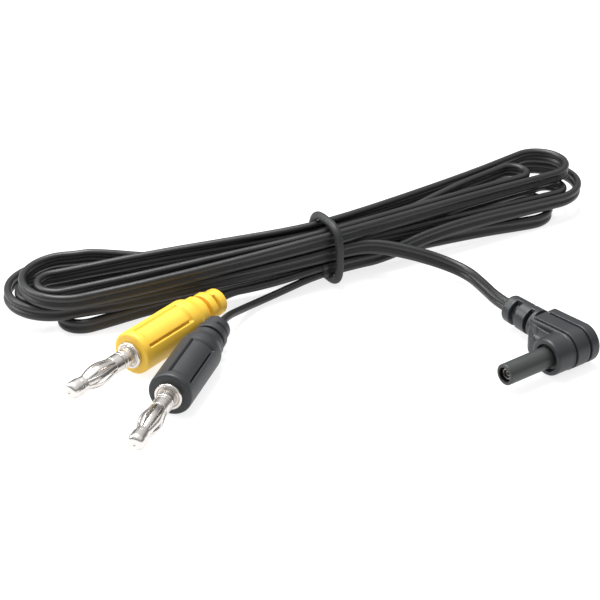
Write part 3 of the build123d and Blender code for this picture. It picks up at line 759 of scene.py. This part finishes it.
def melted(name, grids):
    """Closed grids melted into one skin by a voxel remesh, then smoothed a few rounds."""
    piece = joined(name, [skin("%s_%d" % (name, k), grid) for k, grid in enumerate(grids)])
    remesh = piece.modifiers.new("melt", "REMESH")
    remesh.mode, remesh.voxel_size, remesh.use_smooth_shade = "VOXEL", VOXEL, True
    soften = piece.modifiers.new("soften", "SMOOTH")
    soften.factor, soften.iterations = 0.5, SOFTEN_ROUNDS
    final = bpy.data.meshes.new_from_object(
        piece.evaluated_get(bpy.context.evaluated_depsgraph_get()))
    piece.modifiers.clear()
    rough, piece.data = piece.data, final
    bpy.data.meshes.remove(rough)
    final.shade_smooth()
    final.name = name
    print("%s: melted into %d faces" % (name, len(final.polygons)))
    return piece


around = np.linspace(0, 2 * pi, 160, endpoint=False)
housing = melted("elbow_housing", [on_elbow(grid) for grid in (
    block_grid(), boss_grid(), web_grid(), relief_grid(around))])
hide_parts("elbow_body")

# %% Sleeve and contacts
SHROUD_R, SHROUD_BORE, SHROUD_ROOT, SHROUD_TIP, BORE_MID = 2.35, 1.6, 4.6, 20.1, 10
around = np.linspace(0, 2 * pi, 96, endpoint=False)
sleeve_profile = soft_profile([
    (BORE_MID, SHROUD_BORE), (SHROUD_ROOT, SHROUD_BORE), (SHROUD_ROOT, SHROUD_R),
    (SHROUD_TIP, SHROUD_R, 0.3), (SHROUD_TIP, SHROUD_BORE, 0.15), (BORE_MID, SHROUD_BORE)])[:-1]
sleeve = skin("plug_sleeve", on_elbow(about_y(turned(sleeve_profile, around))), loop=True,
              slot="sleeve_plastic", lay=turned_lay(sleeve_profile, around))
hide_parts("shroud")

# %% [markdown]
# ## Shader arithmetic
#
# A node graph is easier to read as sums. Wire wraps an output socket, and each operator adds one
# Math node. Graph adds any other node to a tree. Finish is the graph of a material, and its
# give() links or sets a socket of the Principled shader.


# %% Shader helpers
class Wire:
    """An output socket that can stand in an expression."""

    def __init__(self, tree, socket):
        self.tree, self.socket = tree, socket

    def math(self, operation, *values):
        """One Math node over its values."""
        node = self.tree.nodes.new("ShaderNodeMath")
        node.operation = operation
        for socket, value in zip(node.inputs, values):
            plug(self.tree, socket, value)
        return Wire(self.tree, node.outputs[0])

    def __add__(self, other): return self.math("ADD", self, other)
    def __radd__(self, other): return self.math("ADD", other, self)
    def __sub__(self, other): return self.math("SUBTRACT", self, other)
    def __rmul__(self, other): return self.math("MULTIPLY", other, self)


def plug(tree, socket, value):
    """Links a Wire to a socket, or sets a plain value on it."""
    if isinstance(value, Wire):
        tree.links.new(value.socket, socket)
    elif hasattr(value, "__len__") and len(value) == 3 and len(socket.default_value) == 4:
        socket.default_value = (*value, 1.0)
    else:
        socket.default_value = value


class Graph:
    """A node tree that nodes are added to."""

    def __init__(self, tree):
        self.tree = tree

    def node(self, kind, settings=None, output=0, **values):
        """Any node: its settings first, then its sockets, then one of its outputs as a Wire."""
        made = self.tree.nodes.new("ShaderNode" + kind)
        for key, value in (settings or {}).items():
            setattr(made, key, value)
        for key, value in values.items():
            plug(self.tree, made.inputs[key.replace("_", " ")], value)
        return Wire(self.tree, made.outputs[output])

    def greys(self, factor, stops):
        """Colour ramp through greys, each given with its place."""
        ramp = self.node("ValToRGB", Fac=factor)
        elements = ramp.socket.node.color_ramp.elements
        while len(elements) < len(stops):
            elements.new(0.5)
        for element, (place, grey) in zip(elements, stops):
            element.position, element.color = place, (grey, grey, grey, 1)
        return ramp


class Finish(Graph):
    """A Principled material. The keywords set its constant sockets."""

    def __init__(self, name, **constants):
        self.material = bpy.data.materials.new(name)
        self.material.use_nodes = True
        super().__init__(self.material.node_tree)
        self.shader = self.tree.nodes["Principled BSDF"]
        for socket, value in constants.items():
            self.give(socket.replace("_", " "), value)

    def give(self, socket, value):
        """Links or sets a socket of the shader."""
        plug(self.tree, self.shader.inputs[socket], value)

    def blend(self, factor, first, second):
        """Colour between two colours."""
        made = self.tree.nodes.new("ShaderNodeMix")
        made.data_type = "RGBA"
        plug(self.tree, made.inputs[0], factor)
        plug(self.tree, made.inputs[6], first)
        plug(self.tree, made.inputs[7], second)
        return Wire(self.tree, made.outputs[2])

    def noise(self, scale, detail=2.0, stretch=None, source="Object"):
        """Noise from 0 to 1 over the object's own coordinates, or over the lay of a cord."""
        if source == "Object":
            place = self.node("TexCoord", output=3)
        else:
            place = self.node("Attribute", {"attribute_name": source}, output=1)
        if stretch:
            place = self.node("Mapping", Vector=place, Scale=stretch)
        return self.node("TexNoise", Vector=place, Scale=scale, Detail=detail)

    def bump(self, height, depth):
        """Bump of a height from 0 to 1 that is depth metres deep."""
        return self.node("Bump", Height=height, Distance=depth, Strength=1.0)

    def on(self, *names):
        """Puts the finish on pieces or CAD nodes."""
        for name in names:
            thing = bpy.data.objects[name]
            thing.data.materials.clear()
            thing.data.materials.append(self.material)


# %% [markdown]
# ## Cord jacket
#
# The jacket is soft black vinyl, extruded: satin, with faint streaks along the cord from the die
# and a patchy sheen where it was handled.

# %% Cord finish
jacket = Finish("cord_jacket", IOR=1.5)
streaks = jacket.noise(6.0, 3.0, stretch=(14.0, 1.0, 1.0), source="lay")
patches = jacket.noise(140.0, 2.0)
jacket.give("Base Color", jacket.blend(patches, (0.006, 0.006, 0.0065), (0.012, 0.012, 0.013)))
jacket.give("Roughness", 0.30 + 0.16 * patches + 0.08 * streaks)
jacket.give("Normal", jacket.bump(streaks, 0.00003))
jacket.on("twin_cord", "yellow_single", "black_single")

# %% Rubber finish
rubber = Finish("ring_rubber", IOR=1.5)
bloom = rubber.noise(900.0, 3.0)
rubber.give("Base Color", rubber.blend(bloom, (0.007, 0.0075, 0.008), (0.016, 0.0165, 0.018)))
rubber.give("Roughness", 0.48 + 0.16 * bloom)
rubber.give("Normal", rubber.bump(bloom, 0.00002))
rubber.on("rubber_ring")

# %% Plastic finishes
CLOUD, GRAIN, GRAIN_DEPTH = 160.0, 2600.0, 0.000012
SLEEVE_TONES = (0.020, 0.024, 0.023), (0.034, 0.039, 0.037)
# Painted shade for the sleeve's bore: a near-black colour, and where it takes over, in metres along
# the sleeve's profile.
PAINTED_SHADE, PAINTED_SHADE_FROM, PAINTED_SHADE_TO = (0.004, 0.004, 0.004), 0.0217, 0.0221


def moulded(name, dark, light, roughness):
    """Moulded plastic: a fine spark-eroded grain, with colour and gloss a little uneven."""
    made = Finish(name, IOR=1.5)
    cloud, fine = made.noise(CLOUD, 3.0), made.noise(GRAIN, 2.0)
    made.give("Base Color", made.blend(cloud, dark, light))
    made.give("Roughness", roughness + 0.14 * (cloud - 0.5) + 0.1 * (fine - 0.5))
    made.give("Normal", made.bump(fine, GRAIN_DEPTH))
    return made


moulded("grip_yellow", (0.75, 0.455, 0.035), (0.83, 0.525, 0.05), 0.46).on("yellow_moulded_grip")
moulded("grip_black", (0.015, 0.0163, 0.0185), (0.025, 0.027, 0.030), 0.5).on("black_moulded_grip")
moulded("elbow_vinyl", (0.011, 0.0125, 0.015), (0.020, 0.022, 0.0255), 0.44).on("elbow_housing")
moulded("inner_insulator", (0.006, 0.006, 0.006), (0.012, 0.012, 0.012), 0.5).on(
    "contact_insulator")

# %% Sleeve finish, dark with painted shade from its tip's edge into the bore
sleeve_vinyl = moulded("sleeve", *SLEEVE_TONES, 0.40)
along = sleeve_vinyl.node("SeparateXYZ", Vector=sleeve_vinyl.node(
    "Attribute", {"attribute_name": "lay"}, output=1))
# Painted shade: from partway across the tip's end face on into the bore, the colour goes near black
# in place of the shade inside the bore.
painted_shade_mask = sleeve_vinyl.node("MapRange", Value=along, From_Min=PAINTED_SHADE_FROM, From_Max=PAINTED_SHADE_TO)
worn = sleeve_vinyl.blend(sleeve_vinyl.noise(CLOUD, 3.0), *SLEEVE_TONES)
sleeve_vinyl.give("Base Color", sleeve_vinyl.blend(painted_shade_mask, worn, PAINTED_SHADE))
sleeve_vinyl.on("plug_sleeve")

# %% Metal finishes
nickel = Finish("bright_nickel", Metallic=1.0)
tarnish = nickel.noise(300.0, 3.0)
tooling = nickel.noise(3000.0, 2.0, stretch=(1.0, 0.0, 0.0), source="lay")
nickel.give("Base Color", nickel.blend(tarnish, (0.62, 0.59, 0.56), (0.76, 0.73, 0.70)))
nickel.give("Roughness", 0.17 + 0.10 * tarnish + 0.05 * tooling)
nickel.give("Normal", nickel.bump(tooling, 0.0000008))
nickel.on(*["%s_%s" % (colour, part) for colour in BANANA
            for part in ("turned_pin", "riveted_head", "lantern_spring")])
for name, scale, detail, dark, light, places in (
        ("dull_nickel", 700.0, 3.0, (0.22, 0.21, 0.20), (0.34, 0.33, 0.31),
         ("contact_barrel", "centre_contact")),
        ("copper_strand", 2500.0, 2.0, (0.55, 0.25, 0.12), (0.80, 0.42, 0.24),
         ("elbow_conductors", "yellow_conductor", "black_conductor"))):
    metal = Finish(name, Metallic=1.0)
    film = metal.noise(scale, detail)
    metal.give("Base Color", metal.blend(film, dark, light))
    metal.give("Roughness", 0.3 + 0.2 * film)
    metal.on(*places)

# %% [markdown]
# ## Bench and light
#
# A white sheet under a big soft light, as in a product shot. The sheet glows a little by itself,
# so that it stays white and the shadows stay faint.

# %% Bench
SHEET_HALF, SHEET_Z = 3.0, -2e-5
floor_mesh = bpy.data.meshes.new("bench")
floor_mesh.from_pydata([(SHEET_HALF * x, SHEET_HALF * y, SHEET_Z)
                        for x, y in ((-1, -1), (1, -1), (1, 1), (-1, 1))], [], [(0, 1, 2, 3)])
bench = bpy.data.objects.new("bench", floor_mesh)
bpy.context.scene.collection.objects.link(bench)
paper = Finish("white_sheet", Roughness=0.9)
paper.give("Base Color", (0.30, 0.30, 0.30))
paper.give("Emission Color", (1.0, 1.0, 1.0))
paper.give("Emission Strength", 0.79)
paper.on("bench")


# %% Lights
def softbox(name, at, aim, size, watts):
    """Square area light at one bench place, turned toward another. Its size is in mm."""
    light = bpy.data.lights.new(name, "AREA")
    light.shape, light.size, light.energy = "SQUARE", size * MM, watts
    lamp = bpy.data.objects.new(name, light)
    bpy.context.scene.collection.objects.link(lamp)
    lamp.location = row(at)
    lamp.rotation_euler = Vector(row(aim) - row(at)).to_track_quat("-Z", "Y").to_euler()


softbox("top_light", (-150, 150, 700), (0, 0, 0), 420, 8.4)
softbox("left_light", (-600, 100, 350), (0, 0, 0), 300, 2.5)

# %% [markdown]
# Round the table the room is dim, and overhead it is bright. That split is what gives the plated
# pins their dark streak between two bright bands, and it keeps the black pieces black.

# %% Room
ROOM_GREYS = [(0.0, 0.45), (0.12, 0.22), (0.28, 0.16), (0.5, 0.72), (0.9, 1.0)]
world = bpy.data.worlds.new("studio")
bpy.context.scene.world = world
world.use_nodes = True
room = Graph(world.node_tree)
direction = room.node("TexCoord")
height = room.node("SeparateXYZ", output=2, Vector=direction)
grey = room.greys(height, ROOM_GREYS)
plug(room.tree, room.tree.nodes["Background"].inputs["Color"], grey)
bpy.context.scene.view_settings.view_transform = "Standard"
